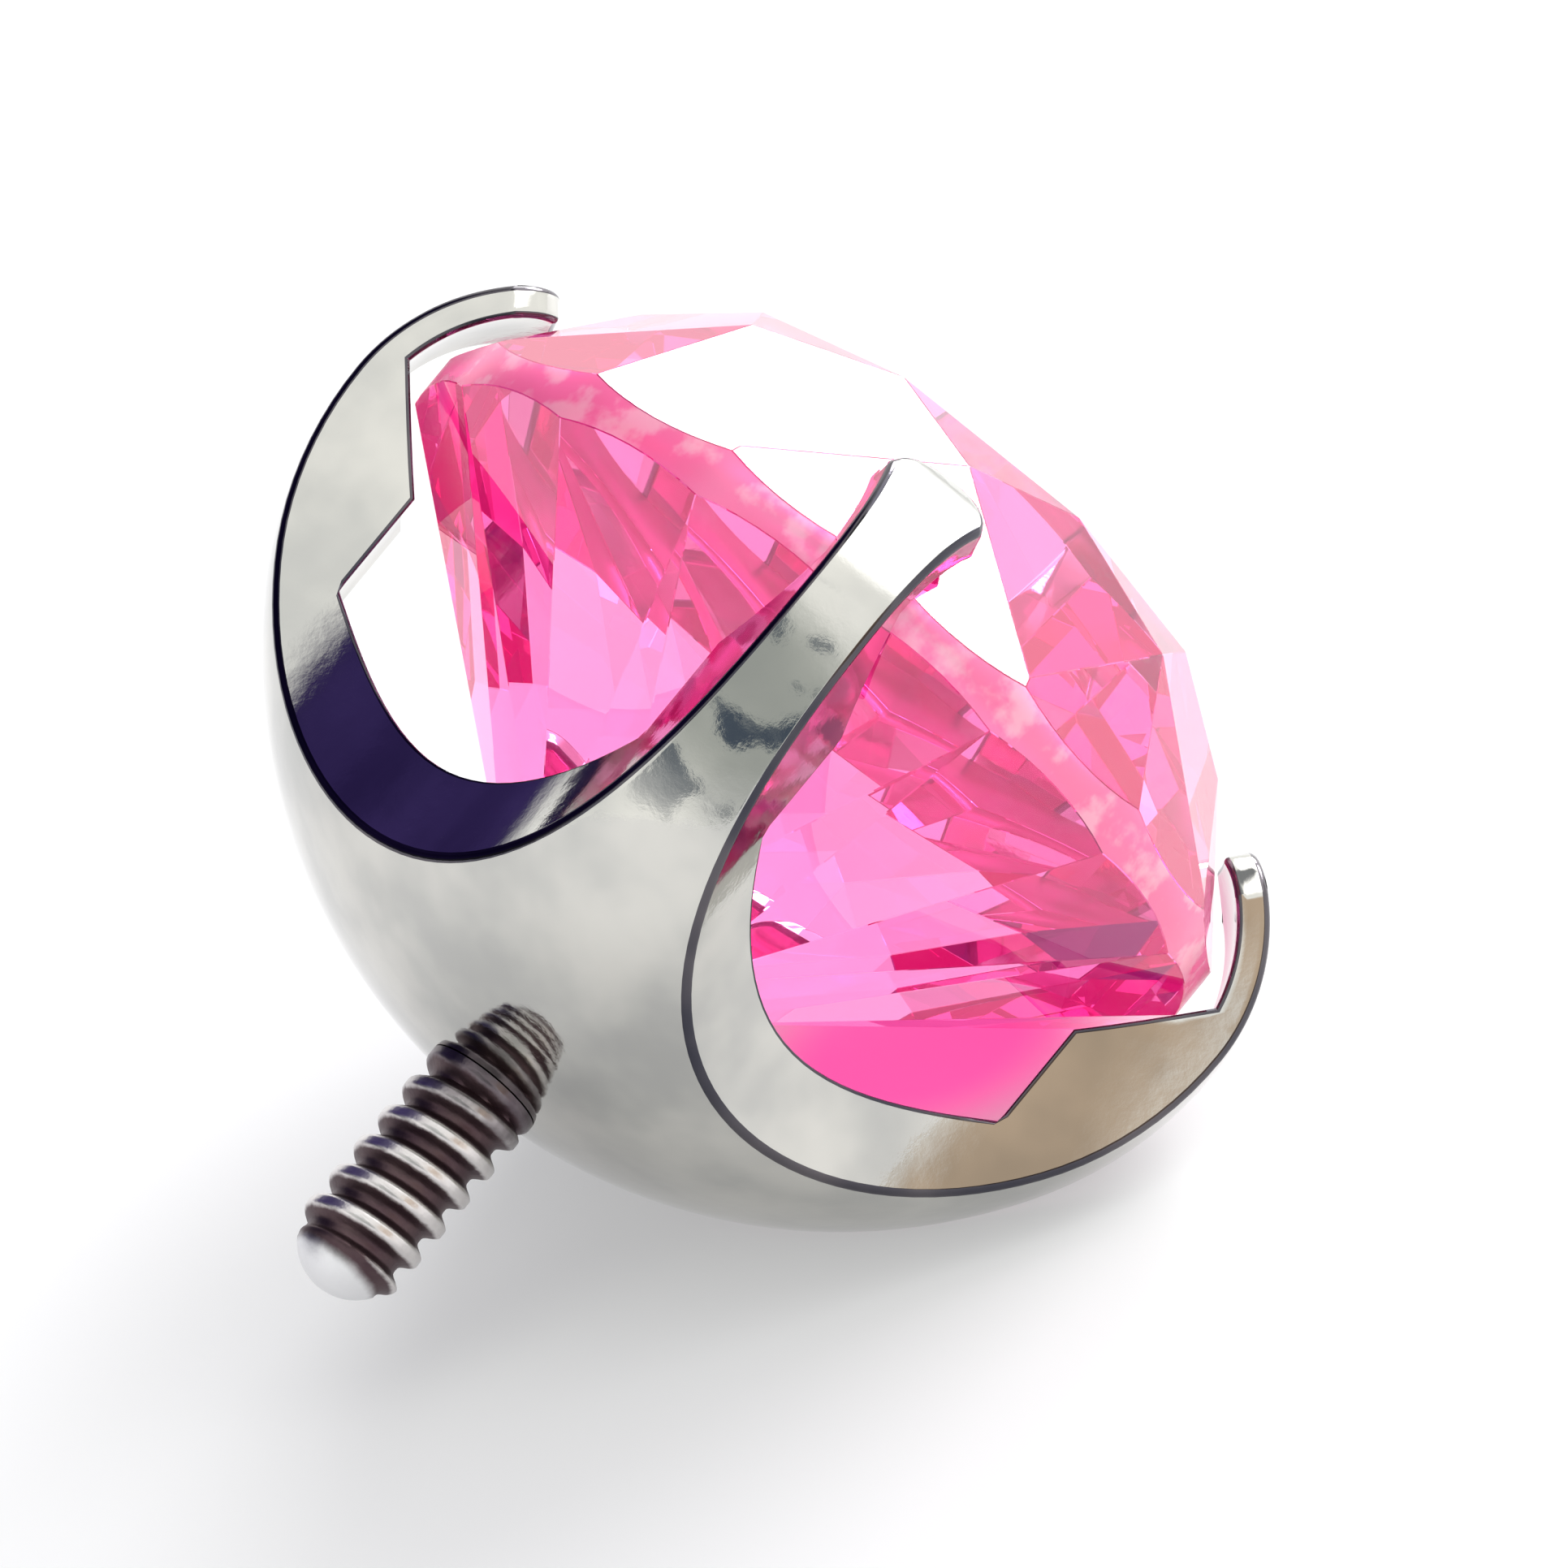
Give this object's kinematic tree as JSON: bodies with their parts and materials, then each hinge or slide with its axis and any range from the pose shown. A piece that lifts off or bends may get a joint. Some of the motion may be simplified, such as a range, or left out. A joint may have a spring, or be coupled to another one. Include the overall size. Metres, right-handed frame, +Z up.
{
  "type": "ear stud",
  "caption": "Prong-set ear stud head lying on its side: a faceted pink round stone in a polished four-prong cup, with a short threaded pin behind.",
  "frame": {"origin": "on the table, under the middle of the laid stud's box", "axes": "+Z up; the stud's own axis lies in the XZ plane, with the table of the stone towards +X and the pin towards -X; Y across"},
  "size_m": [0.0076, 0.007, 0.0066],
  "materials": {
    "polished_steel": "mirror polished surgical steel",
    "pink_stone": "polished, faceted, clear pink",
    "thread_steel": "turned steel with dark grooves"
  },
  "bodies": {
    "root": {"prong_cup": "polished_steel", "stone": "pink_stone", "threaded_pin": "thread_steel"}
  },
  "joints": []
}
